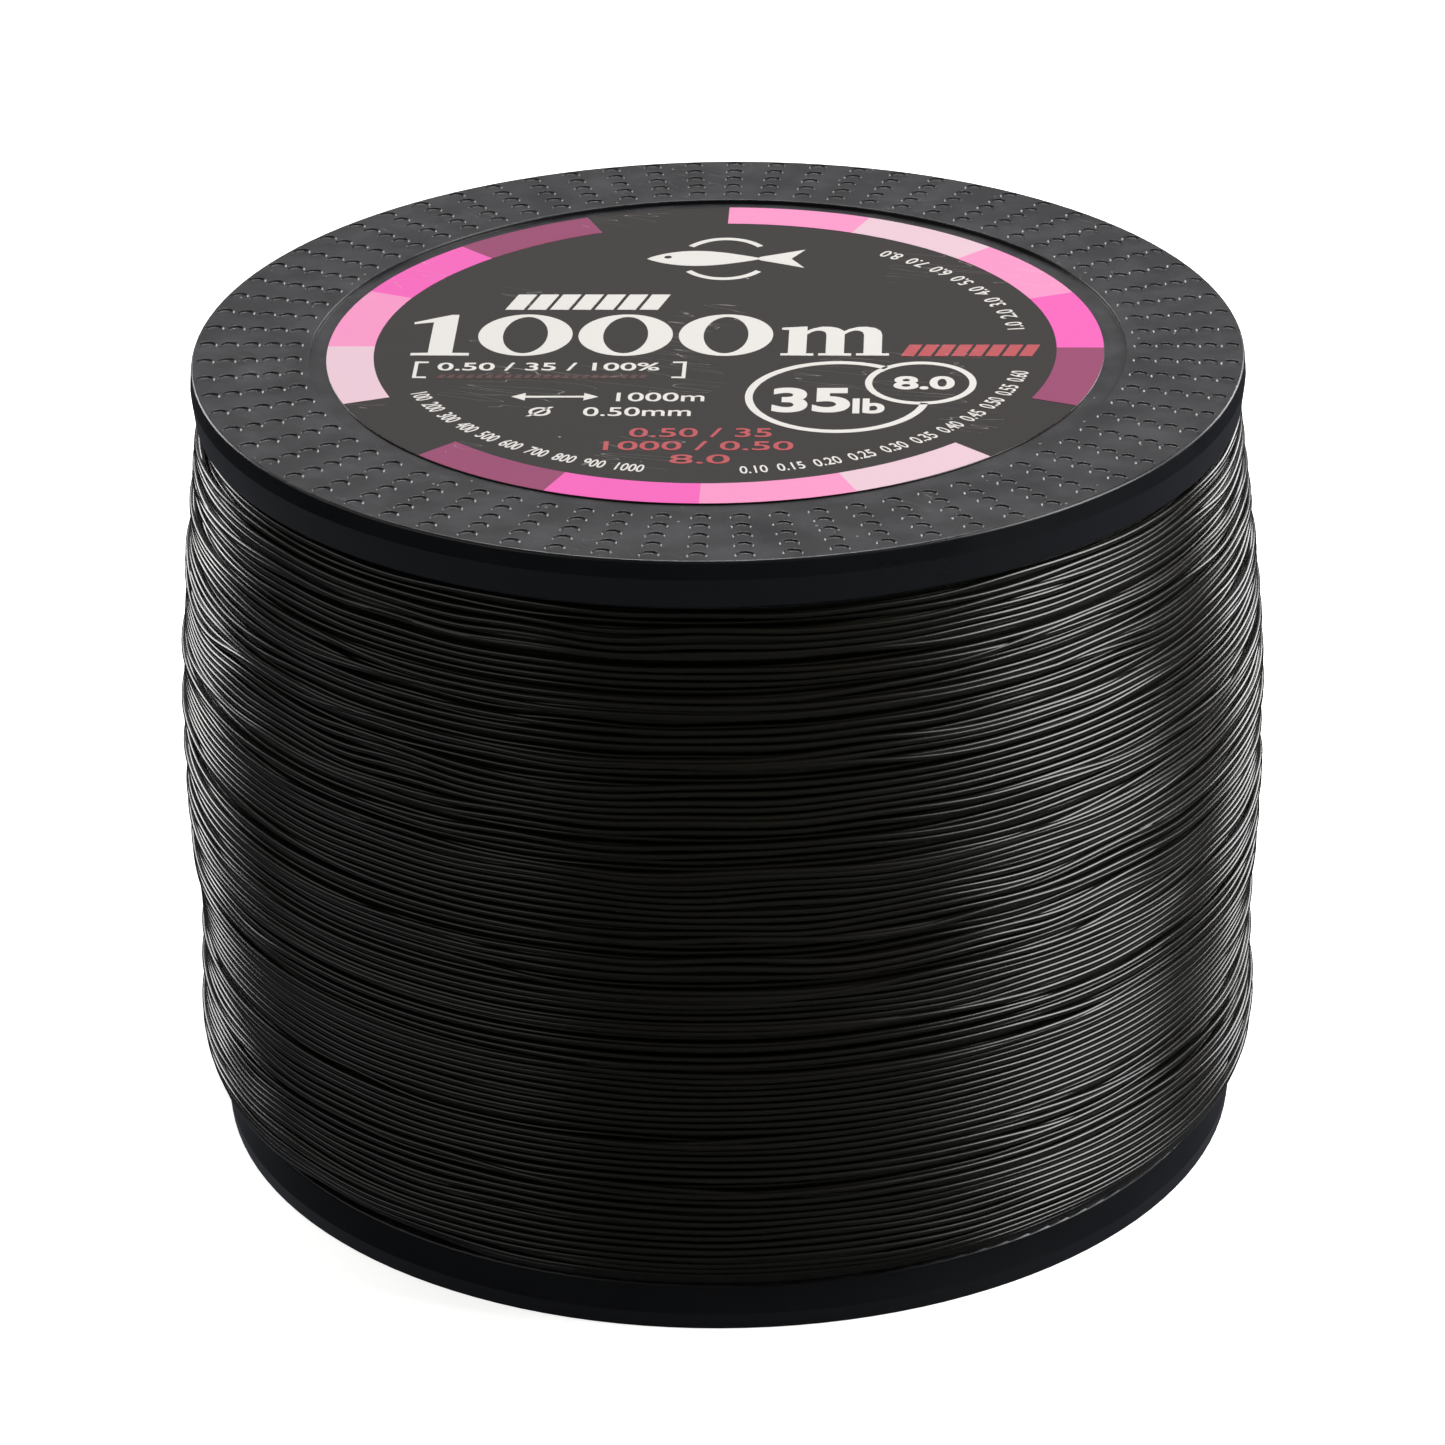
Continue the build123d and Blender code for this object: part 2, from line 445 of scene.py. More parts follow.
def strayPath(random, strays, turns, stations):
    # a stray turn climbs over its neighbours for part of a turn and comes back
    shift = np.zeros(turns * stations)
    for count, least, most in strays:
        for _ in range(count):
            start = random.integers(stations // 2, (turns - 2) * stations)
            slope = random.uniform(0.035, 0.085)  # of the climb, rise over run
            reach = random.uniform(least, most)
            climb = int(reach / slope / (2 * math.pi * flangeRadius) * stations * 1.6)  # eased, so longer
            stay = int(random.uniform(10, 120) / 360 * stations)
            ramp = 0.5 - 0.5 * np.cos(np.linspace(0, math.pi, climb))
            bump = np.concatenate([ramp, np.ones(stay), ramp[::-1]])
            room = shift[start:start + len(bump)]
            room += reach * random.choice([-1, 1]) * bump[:len(room)]
    return shift


def turnHeights(settings, low, high, random, stations):
    # the height of every station of a layer's turns, from the lower flange up, and its strays
    turns = int((high - low) / settings["pitch"])
    steps = np.exp(random.normal(size=turns) * settings["spread"])
    edges = low + (high - low) * np.concatenate([[0], np.cumsum(steps)]) / steps.sum()
    turn = np.arange(turns + 1)
    at = np.arange(turns * stations) / stations
    height = np.interp(at, turn, edges)
    unrest = np.zeros(len(at))
    for mode in range(1, 4):
        for wave in (np.cos, np.sin):
            unrest += np.interp(at, turn, slowNoise(random, turns + 1, 4.0)) * wave(at * 2 * math.pi * mode)
    unrest = np.clip(0.9 + 0.5 * unrest, 0.25, 2.4)  # neat in some places and loose in others
    for mode in range(1, 25):
        for wave in (np.cos, np.sin):
            slow = np.interp(at, turn, slowNoise(random, turns + 1, 5.0)) / (mode + 1) ** 1.5
            ripple = np.interp(at, turn, slowNoise(random, turns + 1, 1.3)) * (mode > 3)
            quick = np.interp(at, turn, random.normal(size=turns + 1)) / mode ** 0.8
            loose = settings["ripple"] * ripple + settings["quick"] * quick
            height += (settings["slow"] * slow + unrest * loose) * wave(at * 2 * math.pi * mode)
    return height, strayPath(random, settings["strays"], turns, stations)


def layTurns(heights, strays, surface, outside, low, s):
    # each turn slides into a groove, keeps clear of the turn beside it, rests on what is wound, and is
    # drawn tight
    stations, cell, half = s["stations"], s["cell"], s["diameter"] / 2
    reach = int(half / cell)
    offsets = np.arange(-reach, reach + 1)
    lift = np.sqrt(np.maximum(half ** 2 - (offsets * cell) ** 2, 0))
    column = np.arange(stations)
    last = surface.shape[1] - 1
    lowest, highest = low + half, low + last * cell - half

    def restRadius(level):
        index = np.rint((level - low) / cell).astype(int)
        cells = np.clip(index[:, None] + offsets[None, :], 0, last)
        return (surface[column[:, None], cells] + lift[None, :]).max(1), cells

    radii = np.empty_like(heights)
    slides = np.arange(-4, 5) * s["pull"] / 4
    slideCost = 0.1  # of a sideways slide, against the radius that it saves
    join = 20  # stations shared with the turn's other end while its slide is smoothed
    edge = 12  # stations over which a turn's two ends keep their place
    span = 7  # stations that a tight line bridges
    softness = 0.05 * mm  # how gently the radius meets its limit
    before = None
    for first in range(0, len(heights), stations):
        here = slice(first, first + stations)
        level = heights[here]
        costs = np.array([restRadius(level + slide)[0] + slideCost * abs(slide) for slide in slides])
        slide = slides[costs.argmin(0)]
        slide = smoothAlong(np.concatenate([slide[-join:], slide, slide[:join]]), 5.0)[join:-join]
        ends = np.minimum(column, column[::-1]) / edge
        level = level + slide * np.clip(ends, 0, 1)
        if before is not None:
            level = np.maximum(level, before + s["crowd"] * s["diameter"])
        before = level
        level = np.clip(level + strays[here], lowest, highest)
        heights[here] = level
        rest, cells = restRadius(level)
        wrapped = np.concatenate([rest[-edge:], rest, rest[:edge]])
        tight = np.array([wrapped[i:i + span].max() for i in range(len(wrapped) - span + 1)])
        spare = edge - span // 2
        tight = smoothAlong(tight, 3.0)[spare:-spare]
        limit = outside(level) + s["proud"] - half
        eased = limit - softness + softness * np.tanh((tight - limit) / (6 * softness))
        tight = np.minimum(tight, eased)
        radii[here] = tight
        crest = tight[:, None] + lift[None, :]
        np.maximum.at(surface, (np.repeat(column[:, None], len(offsets), 1), cells), crest)
    return smoothAlong(heights, 3.0), smoothAlong(radii, 2.0)


def tubeMesh(heights, radii, s):
    sides, half, stations = s["sides"], s["diameter"] / 2, s["stations"]
    azimuth = np.arange(len(heights)) / stations * 2 * math.pi
    around = np.arange(sides) / sides * 2 * math.pi
    radius = radii[:, None] + half * np.cos(around)[None, :]
    level = heights[:, None] + half * np.sin(around)[None, :]
    points = np.stack([radius * np.cos(azimuth)[:, None], radius * np.sin(azimuth)[:, None], level], -1)
    row = np.arange(len(heights) - 1)[:, None] * sides
    side = np.arange(sides)[None, :]
    onward = (side + 1) % sides
    quads = np.stack([row + side, row + sides + side, row + sides + onward, row + onward], -1).reshape(-1, 4)
    tail = (len(heights) - 1) * sides
    caps = [list(range(sides)), [tail + i for i in range(sides)][::-1]]
    return points.reshape(-1, 3), quads.tolist() + caps


def windLine(s, material):
    random = np.random.default_rng(s["seed"])
    low, high = windingLow.z, windingHigh.z
    cells = int((high - low) / s["cell"]) + 1
    azimuth = np.arange(s["stations"]) / s["stations"] * 2 * math.pi
    surface = coreRadius(azimuth[:, None], (low + np.arange(cells) * s["cell"])[None, :], s)
    half = s["diameter"] / 2
    top = low + (cells - 1) * s["cell"]

    def outside(z):
        return np.interp(z, outlineLevels, outlineRadii)

    for number, settings in enumerate(s["layers"], 1):
        heights, strays = turnHeights(settings, low + half, high - half, random, s["stations"])
        if number % 2 == 1:
            heights, radii = layTurns(heights, strays, surface, outside, low, s)
        else:  # wound back down: the same, seen from the other flange
            heights, radii = layTurns(
                heights, strays, surface[:, ::-1], lambda z: outside(low + top - z), low, s)
            heights = low + top - heights
        chunk = s["turnsPerPiece"] * s["stations"]
        for part, first in enumerate(range(0, len(heights) - 1, chunk), 1):
            points, faces = tubeMesh(heights[first:first + chunk + 1], radii[first:first + chunk + 1], s)
            piece = addMesh(f"line_layer{number}_{part}", points, faces, material)
            place(piece, "nylon_line", "line_winding")
        turns = len(heights) // s["stations"]
        print(f"line layer {number} wound, {turns} turns, out to {radii.max() + half:.5f} m")


def addCore(s, material):
    # the rest of the wound line, under the drawn layers
    steps, rings = 180, 60
    overlap = 0.02 * mm  # into the lowest turns
    azimuth = np.arange(steps) / steps * 2 * math.pi
    level = np.linspace(windingLow.z, windingHigh.z, rings)
    outer = coreRadius(azimuth[:, None], level[None, :], s) + overlap
    columns = [np.full((steps, 1), barrelRadius), outer, np.full((steps, 1), barrelRadius)]
    radius = np.concatenate(columns, 1)
    heights = np.concatenate([[level[0]], level, [level[-1]]])
    points = np.stack([radius * np.cos(azimuth)[:, None], radius * np.sin(azimuth)[:, None],
                       np.broadcast_to(heights, radius.shape)], -1).reshape(-1, 3)
    wide = radius.shape[1]
    row = np.arange(steps)[:, None] * wide
    onward = (np.arange(steps)[:, None] + 1) % steps * wide
    ring = np.arange(wide)[None, :]
    nextRing = (ring + 1) % wide
    quads = np.stack([row + ring, onward + ring, onward + nextRing, row + nextRing], -1).reshape(-1, 4)
    place(addMesh("line_core", points, quads.tolist(), material), "nylon_line", "line_winding")


nylon = nylonMaterial(line)
dressNode("line_start_knot", nylon)
addCore(line, nylon)
windLine(line, nylon)


# labels

labelPrint = {
    "turn": math.radians(-2.4),
    "offset": (-0.2 * mm, 0.3 * mm),  # of the label from the spool's axis
    "lift": 0.02 * mm,  # of the print above the film
    "edge": 0.03 * mm,  # rounding of the film's edge
    "ringInner": 27.2 * mm,
    "ringMargin": 0.04 * mm,  # from the ring to the film's edge
    "ringStart": 89.8,  # degrees, then clockwise in sixteenths
    "ringOrder": ["mid", "pale", "mid", "hot", "mauve", "", "pale", "mid", "hot", "mauve", "",
                  "pale", "mid", "hot", "mauve", ""],
    "colours": {
        "hot": (0.82, 0.105, 0.445, 1),
        "mid": (0.845, 0.276, 0.512, 1),
        "pale": (0.75, 0.525, 0.604, 1),
        "mauve": (0.276, 0.041, 0.124, 1),
        "white": (0.734, 0.712, 0.675, 1),
        "red": (0.463, 0.069, 0.081, 1),
        "dullRed": (0.081, 0.033, 0.027, 1),
        "black": (0.0120, 0.0078, 0.0060, 1),  # the film itself
    },
    # figures as (text, x, y, width, height, weight), in millimetres
    "whiteFigures": [
        ("0.50 / 35 / 100%", -13.05, -4.1, 17.6, 1.6, 0.012),
        ("1000m", -3.9, -10.3, 6.9, 1.75, 0.008),
        ("0.50mm", -5.6, -13.25, 8.4, 1.75, 0.008),
    ],
    "redFigures": [
        ("0.50 / 35", -0.5, -17.4, 11.0, 1.75, 0.008),
        ("1000 / 0.50", -0.57, -19.96, 14.6, 1.75, 0.008),
        ("8.0", -0.36, -22.55, 4.6, 1.75, 0.008),
    ],
    # scales along the ring as (name, text, radius, first angle, last angle)
    "scales": [
        ("label_scale_left", "100  200  300  400  500  600  700  800  900  1000", 24.8, 202.4, 259.4),
        ("label_scale_bottom", "0.10  0.15  0.20  0.25  0.30  0.35  0.40  0.45  0.50  0.55  0.60",
         24.8, 276.4, 348.4),
        ("label_scale_right", "1.0  2.0  3.0  4.0  5.0  6.0  7.0  8.0", 24.3, 8.9, 57.4),
    ],
}

filmSurface = {
    "dustColour": (0.6, 0.58, 0.56, 1),
    "roughness": 0.26,
    "ior": 1.42,
    "coat": (0.06, 0.1),  # weight and roughness
    "sagAcross": 9.0 * mm,  # radius of the dip over the bore
    "sagDepth": 0.09 * mm,
    "dust": {"Scale": 800.0, "Size": 0.08, "Share": 0.12},
    "dustAmount": 0.6,
    "scratches": {"Scale": 110.0, "Width": 0.0035, "Angle": 0.3},
    "scratchAmount": 0.3,
}


def filmMaterial(name, colour, p):
    material, tree = newMaterial(name)
    tone = mixColour(tree, wornMask(tree, p), colour, p["dustColour"])
    wave = useGroup(tree, waves, Across=p["sagAcross"])
    bump = addNode(tree, "ShaderNodeBump", {
        "Height": wave.outputs["Height"], "Strength": 1.0, "Distance": p["sagDepth"]})
    weight, coatRoughness = p["coat"]
    shader = addNode(tree, "ShaderNodeBsdfPrincipled", {
        "Base Color": tone, "Roughness": p["roughness"], "IOR": p["ior"], "Coat Weight": weight,
        "Coat Roughness": coatRoughness, "Normal": bump.outputs["Normal"]})
    finishMaterial(tree, shader)
    return material


film = {name: filmMaterial(f"film_{name}", colour, filmSurface)
        for name, colour in labelPrint["colours"].items()}
for nodeName in ("top_label", "bottom_label"):
    dressNode(nodeName, film["black"])


def labelDisc():
    # the top label, a little off centre in its recess, with a rounded edge
    edge = labelPrint["edge"]
    low, high = labelLow.z, labelHigh.z
    rim = labelRadius - edge
    flat = labelRadius - 4 * edge  # keeps the edge's shading off the face
    outline = [(0, low), (flat, low), (rim, low), (labelRadius, low + edge),
               (labelRadius, high - edge), (rim, high), (flat, high), (0, high)]
    points, faces = latheMesh(outline, 256)
    piece = addMesh("top_label_film", points, faces, film["black"])
    piece.data.transform(Matrix.Translation((*labelPrint["offset"], 0)))
    place(piece, "label_film", "top_label")


def meshOf(name, curve):
    # the mesh that a curve makes; the curve's own object is removed again
    holder = bpy.data.objects.new(name, curve)
    bpy.context.scene.collection.objects.link(holder)
    bpy.context.view_layer.update()
    mesh = bpy.data.meshes.new_from_object(holder)
    bpy.data.objects.remove(holder)
    return mesh


def flatPiece(name, loops, colour):
    # closed outlines in the label's plane, filled as one thin print; an outline inside another is a hole
    curve = bpy.data.curves.new(name, "CURVE")
    curve.dimensions, curve.fill_mode, curve.extrude = "2D", "BOTH", labelPrint["lift"]
    for loop in loops:
        spline = curve.splines.new("POLY")
        spline.points.add(len(loop) - 1)
        for point, (x, y) in zip(spline.points, loop):
            point.co = (x, y, 0, 1)
        spline.use_cyclic_u = True
    finishPrint(name, meshOf(name, curve), colour)


def finishPrint(name, mesh, colour):
    # turns a print with the label and lays it on the film
    turn = Matrix.Rotation(labelPrint["turn"], 4, "Z")
    mesh.transform(Matrix.Translation((*labelPrint["offset"], labelHigh.z)) @ turn)
    mesh.materials.clear()
    mesh.materials.append(film[colour])
    piece = bpy.data.objects.new(name, mesh)
    bpy.context.scene.collection.objects.link(piece)
    place(piece, "label_film")


def sector(inner, outer, first, last, steps=24):
    # outline of a piece of a ring, between two angles in degrees
    angles = [math.radians(first + (last - first) * i / steps) for i in range(steps + 1)]
    there = [(outer * math.cos(a), outer * math.sin(a)) for a in angles]
    back = [(inner * math.cos(a), inner * math.sin(a)) for a in reversed(angles)]
    return there + back


def ringPrint():
    outer = labelRadius - labelPrint["ringMargin"]
    step = 360 / len(labelPrint["ringOrder"])
    for colour in ("hot", "mid", "pale", "mauve"):
        loops = []
        for i, name in enumerate(labelPrint["ringOrder"]):
            if name == colour:
                start = labelPrint["ringStart"] - step * i
                loops.append(sector(labelPrint["ringInner"], outer, start - step, start))
        flatPiece(f"label_ring_{colour}", loops, colour)


def stripes(x, y, width, height, count, slant, share):
    # a row of slanted bars about a point, share being a bar's part of its step
    step = (width - slant) / count
    left, foot = x - width / 2, y - height / 2
    return [[(left + i * step, foot), (left + (i + share) * step, foot),
             (left + (i + share) * step + slant, foot + height), (left + i * step + slant, foot + height)]
            for i in range(count)]


def moved(loops, x, y, scale=1):
    return [[(px * scale + x, py * scale + y) for px, py in loop] for loop in loops]


def oval(x, y, rx, ry, steps=64):
    angles = [2 * math.pi * i / steps for i in range(steps)]
    return [(x + rx * math.cos(a), y + ry * math.sin(a)) for a in angles]


def ring(x, y, radius, stroke, steps=96):
    return [oval(x, y, r, r, steps) for r in (radius + stroke / 2, radius - stroke / 2)]


# the length in large numerals, in millimetres, drawn on a line 39.5 wide and 8.6 high
bigOne = [(-2.4, 0), (-2.4, 0.5), (-1.0, 0.55), (-1.0, 7.0), (-2.6, 6.6), (-2.6, 7.0), (0.4, 8.6), (1.0, 8.6),
          (1.0, 0.55), (2.4, 0.5), (2.4, 0)]
bigMetre = [(0.3, 0), (0.3, 0.45), (0.9, 0.45), (0.9, 5.4), (0.3, 5.4), (0.3, 5.85), (2.4, 6.1),
            (2.4, 5.2), (2.9, 5.7), (3.6, 6.05), (4.3, 6.05), (4.9, 5.8), (5.3, 5.35), (5.45, 5.1),
            (5.9, 5.6), (6.6, 6.0), (7.3, 6.05), (8.0, 5.8), (8.45, 5.2), (8.6, 4.4), (8.6, 0.45),
            (9.2, 0.45), (9.2, 0), (6.5, 0), (6.5, 0.45), (7.1, 0.45), (7.1, 4.3), (7.0, 4.9),
            (6.7, 5.2), (6.3, 5.25), (5.9, 5.0), (5.5, 4.5), (5.5, 0.45), (6.1, 0.45), (6.1, 0),
            (3.4, 0), (3.4, 0.45), (4.0, 0.45), (4.0, 4.3), (3.9, 4.9), (3.6, 5.2), (3.2, 5.25),
            (2.8, 5.0), (2.4, 4.5), (2.4, 0.45), (3.0, 0.45), (3.0, 0)]


def titlePrint(x, y, width):
    drawn, tall = 39.5, 8.6
    loops = moved([bigOne], 2.6, 0)
    for i in range(3):
        middle = 9.4 + i * 8.3
        loops += [oval(middle, tall / 2, 3.9, tall / 2 + 0.08), oval(middle, tall / 2, 1.85, tall / 2 - 0.45)]
    loops += moved([bigMetre], 30.3, 0)
    squeeze = width / drawn
    loops = [[((px - drawn / 2) * squeeze * mm + x, (py - tall / 2) * mm + y) for px, py in loop]
             for loop in loops]
    flatPiece("label_length_large", loops, "white")


def figures(text, width, height, weight):
    # numbers as a flat mesh of a given width and height, centred on the origin
    curve = bpy.data.curves.new(text, "FONT")
    curve.body, curve.size, curve.extrude, curve.offset = text, 1.0, 1.0, weight
    mesh = meshOf(text, curve)
    points = np.array([v.co for v in mesh.vertices])
    low, high = points.min(0), points.max(0)
    middle = (low + high) / 2
    scale = Matrix.Diagonal((width / (high[0] - low[0]), height / (high[1] - low[1]), labelPrint["lift"], 1))
    mesh.transform(scale @ Matrix.Translation((-middle[0], -middle[1], 0)))
    return mesh


def bendRound(mesh, radius, first, last):
    # bends a line of figures round the label's centre, from one angle to another anticlockwise, feet outward
    reach = max(v.co.x for v in mesh.vertices)
    for v in mesh.vertices:
        angle = math.radians(first + (last - first) * (v.co.x / reach + 1) / 2)
        away = radius - v.co.y
        v.co.x, v.co.y = away * math.cos(angle), away * math.sin(angle)


def numberPrint(name, rows, colour):
    # rows of (text, x, y, width, height, weight) joined as one print
    joined = bmesh.new()
    for text, x, y, width, height, weight in rows:
        mesh = figures(text, width * mm, height * mm, weight)
        mesh.transform(Matrix.Translation((x * mm, y * mm, 0)))
        joined.from_mesh(mesh)
    mesh = bpy.data.meshes.new(name)
    joined.to_mesh(mesh)
    joined.free()
    finishPrint(name, mesh, colour)


def scalePrint(name, text, radius, first, last, height=1.4):
    mesh = figures(text, radius * math.radians(last - first) * mm, height * mm, 0.01)
    bendRound(mesh, radius * mm, first, last)
    finishPrint(name, mesh, "white")


def emblemPrint(x, y):
    # a plain fish across an open oval
    steps = 24
    back = [(-6.4 + 9.6 * i / steps, 1.75 * math.sin(math.pi * (i / steps) ** 0.8)) for i in range(steps + 1)]
    belly = [(px, -0.92 * py) for px, py in reversed(back[1:-1])]
    tail = [(3.0, 0.42), (6.6, 2.0), (5.5, 0.0), (6.6, -2.0), (3.0, -0.38)]
    loops = [back[:-1] + tail + belly, oval(-4.7, 0.35, 0.33, 0.33, 16)]
    outer, inner = (3.9, 4.75), (3.35, 4.2)  # half sizes of the open oval
    for first, last in ((38, 142), (218, 322)):
        arc = sector(1.0, 1.0, first, last, 30)
        half = len(arc) // 2
        loops.append([(px * outer[0], py * outer[1]) for px, py in arc[:half]]
                     + [(px * inner[0], py * inner[1]) for px, py in arc[half:]])
    flatPiece("label_emblem", moved(loops, x * mm, y * mm, mm), "white")


# outlines about their own middles, in millimetres
bracket = [(0, -1.7), (0, 1.7), (-1.1, 1.7), (-1.1, 1.4), (-0.3, 1.4), (-0.3, -1.4), (-1.1, -1.4),
           (-1.1, -1.7)]
arrow = [(-3.4, 0), (-2.3, 0.75), (-2.3, 0.17), (2.3, 0.17), (2.3, 0.75), (3.4, 0), (2.3, -0.75),
         (2.3, -0.17), (-2.3, -0.17), (-2.3, -0.75)]
slash = [(-1.05, -0.95), (-0.75, -0.95), (1.05, 0.95), (0.75, 0.95)]


def smallPrint():
    # slanted bars, brackets, signs for length and diameter, and the sizes in figures
    white = stripes(-10.5 * mm, 9.6 * mm, 13.6 * mm, 3.3 * mm, 7, 0.9 * mm, 0.82)
    for side in (-1, 1):
        x, y = -12.92 + side * 10.8, -4.75
        white.append([((x + px * side) * mm, (y + py) * mm) for px, py in bracket])
    white += moved([arrow], -12.2 * mm, -10.25 * mm, mm)
    flatPiece("label_signs", white, "white")
    x, y = -13.2 * mm, -13.25 * mm
    flatPiece("label_diameter_sign", ring(x, y, 0.72 * mm, 0.28 * mm, 40), "white")
    flatPiece("label_diameter_slash", moved([slash], x, y, mm), "white")
    bars = stripes(20.5 * mm, -0.7 * mm, 11.4 * mm, 2.4 * mm, 8, 0.7 * mm, 0.78)
    flatPiece("label_bars_red", bars, "red")
    bars = stripes(-13.3 * mm, -6.15 * mm, 17.0 * mm, 0.8 * mm, 22, 0.3 * mm, 0.6)
    flatPiece("label_bars_dull_red", bars, "dullRed")
    numberPrint("label_figures", labelPrint["whiteFigures"], "white")
    numberPrint("label_figures_red", labelPrint["redFigures"], "red")
    for name, text, radius, first, last in labelPrint["scales"]:
        scalePrint(name, text, radius, first, last)


def ratingPrint():
    # two overlapping rings with numbers in them; the large ring stops at the small one
    bigX, bigY, bigRadius, bigStroke = 9.94, -10.2, 6.93, 0.61
    smallX, smallY, smallRadius, smallStroke = 16.44, -7.42, 4.1, 0.55
    apart = math.hypot(smallX - bigX, smallY - bigY)
    towards = math.degrees(math.atan2(smallY - bigY, smallX - bigX))
    hidden = math.degrees(math.acos(
        (bigRadius ** 2 + apart ** 2 - smallRadius ** 2) / (2 * bigRadius * apart)))
    arc = sector(bigRadius - bigStroke / 2, bigRadius + bigStroke / 2, towards + hidden,
                 towards + 360 - hidden, 96)
    flatPiece("label_ring_large", moved([arc], bigX * mm, bigY * mm, mm), "white")
    loops = ring(smallX * mm, smallY * mm, smallRadius * mm, smallStroke * mm)
    flatPiece("label_ring_small", loops, "white")
    numberPrint("label_rating_large", [
        ("35", 7.9, -10.9, 6.1, 5.0, 0.035), ("lb", 12.4, -12.1, 2.5, 3.0, 0.03)], "white")
    numberPrint("label_rating_small", [("8.0", 16.7, -7.4, 4.8, 2.7, 0.03)], "white")


labelDisc()
ringPrint()
titlePrint(-5.27 * mm, 2.53 * mm, 38.3)
emblemPrint(0.1, 19.2)
smallPrint()
ratingPrint()
print("label printed")


# floor, world and lights

studio = {
    "floor": (0.93, 0.93, 0.92, 1),
    "floorPale": (0.95, 0.95, 0.94, 1),
    "floorSize": 3.0,  # half of its side
    "floorGap": 0.02 * mm,  # keeps it clear of the lower face
    "sweepGlow": 0.8,
    "backdrop": (0.99, 0.99, 0.98, 1),  # as the camera sees it
    "front": (0.118, 0.113, 0.106, 1),  # of the world's light, at the camera's side
    "back": (0.382, 0.371, 0.384, 1),
    "below": (0.135, 0.141, 0.160, 1),
    "turnover": (0.68, 0.94),  # where front changes to back, 0 being the camera's side
    "wallBand": [(0.49, 0.04), (0.55, 1.0), (0.76, 1.0), (0.97, 0.35)],  # by height, 0.5 being level
    "floorBand": [(0.08, 0.05), (0.17, 1.0), (0.25, 1.0), (0.34, 0.0)],
    # name, azimuth from the camera's side, elevation, distance, size, power
    "lights": [
        ("rightStrip", 82, 33, 0.7, (0.44, 0.46), 6.4),
        ("leftFill", -70, 30, 0.8, (0.95, 0.36), 0.95),
        ("leftBack", -137, 17, 0.8, (0.34, 0.22), 2.0),
        ("rightBack", 137, 17, 0.8, (0.34, 0.22), 2.2),
        ("highBack", 180, 52, 0.9, (0.34, 0.18), 3.0),
    ],
}


def addFloor(s):
    size = s["floorSize"]
    points = [(-size, -size, 0), (size, -size, 0), (size, size, 0), (-size, size, 0)]
    material, tree = newMaterial("floorPaper")
    paper = addNode(tree, "ShaderNodeTexNoise", {"Scale": 8.0})
    tone = mixColour(tree, paper.outputs["Fac"], s["floor"], s["floorPale"])
    rays = tree.nodes.new("ShaderNodeLightPath")
    lit = rangeNode(tree, rays.outputs["Is Camera Ray"], ToMin=0.0, ToMax=s["sweepGlow"])
    shader = addNode(tree, "ShaderNodeBsdfPrincipled", {
        "Base Color": tone, "Roughness": 0.9, "Emission Color": (1, 1, 0.99, 1),
        "Emission Strength": lit.outputs["Result"]})
    finishMaterial(tree, shader)
    floor = addMesh("floor", points, [(0, 1, 2, 3)], material, smooth=False)
    floor.location.z = cadBox[0][2] - s["floorGap"]
    floor.visible_glossy = False


def rampNode(tree, value, stops):
    # stops of (position, colour)
    node = addNode(tree, "ShaderNodeValToRGB", {"Fac": value})
    while len(node.color_ramp.elements) < len(stops):
        node.color_ramp.elements.new(0.5)
    for element, (position, colour) in zip(node.color_ramp.elements, stops):
        element.position, element.color = position, colour
    return node.outputs["Color"]


def greys(stops):
    return [(position, (level, level, level, 1)) for position, level in stops]


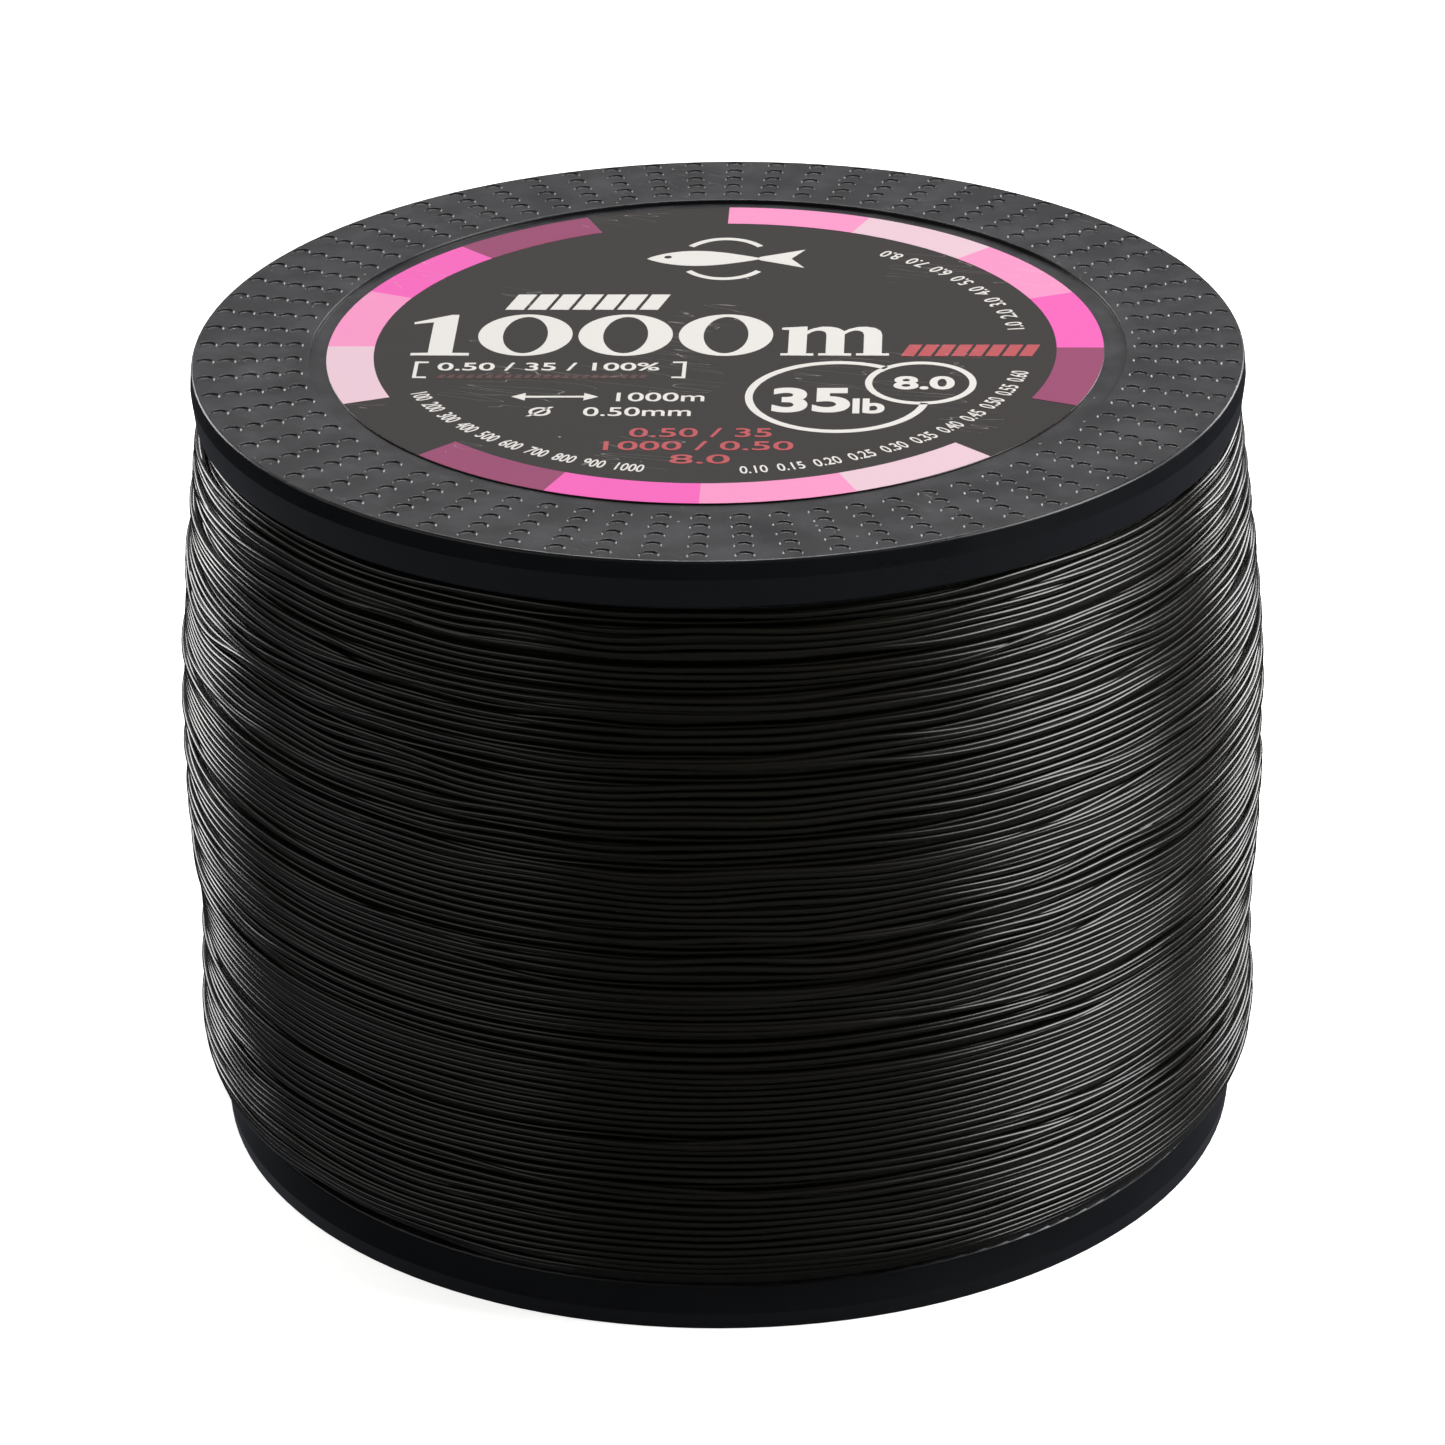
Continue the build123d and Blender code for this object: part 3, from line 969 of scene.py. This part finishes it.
def addWorld(s):
    world = bpy.data.worlds.new("studio")
    bpy.context.scene.world = world
    world.use_nodes = True
    tree = world.node_tree
    tree.nodes.clear()
    where = tree.nodes.new("ShaderNodeTexCoord")
    parts = addNode(tree, "ShaderNodeSeparateXYZ", {0: where.outputs["Generated"]})
    # dark at the camera's side, bright behind up to half height, and a pale floor's light from below
    behind = mathNode(tree, "MULTIPLY_ADD", parts.outputs["Y"], 0.5, 0.5)
    around = rampNode(tree, behind, list(zip(s["turnover"], (s["front"], s["back"]))))
    height = mathNode(tree, "MULTIPLY_ADD", parts.outputs["Z"], 0.5, 0.5)
    wall = mixColour(tree, 1.0, around, rampNode(tree, height, greys(s["wallBand"])), blend="MULTIPLY")
    under = rampNode(tree, height, greys(s["floorBand"]))
    tone = mixColour(tree, under, wall, s["below"])
    glow = addNode(tree, "ShaderNodeBackground", {"Color": tone, "Strength": 1.0})
    plain = addNode(tree, "ShaderNodeBackground", {"Color": s["backdrop"], "Strength": 1.0})
    rays = tree.nodes.new("ShaderNodeLightPath")
    mixed = addNode(tree, "ShaderNodeMixShader", {
        0: rays.outputs["Is Camera Ray"], 1: glow.outputs[0], 2: plain.outputs[0]})
    output = tree.nodes.new("ShaderNodeOutputWorld")
    tree.links.new(mixed.outputs[0], output.inputs["Surface"])


def addAreaLight(name, azimuth, elevation, distance, size, power):
    # azimuth in degrees from the camera's side, positive to the right
    data = bpy.data.lights.new(name, "AREA")
    data.shape, data.size, data.size_y = "RECTANGLE", size[0], size[1]
    data.energy = power
    item = bpy.data.objects.new(name, data)
    bpy.context.scene.collection.objects.link(item)
    a, e = math.radians(azimuth), math.radians(elevation)
    middle = Vector((0, 0, spoolHeight / 2))
    away = Vector((math.sin(a) * math.cos(e), -math.cos(a) * math.cos(e), math.sin(e)))
    item.location = middle + away * distance
    item.rotation_mode = "QUATERNION"
    item.rotation_quaternion = (-away).to_track_quat("-Z", "Y")


addFloor(studio)
addWorld(studio)
for light in studio["lights"]:
    addAreaLight(*light)
bpy.context.scene.view_settings.view_transform = "Standard"
print("studio lit")
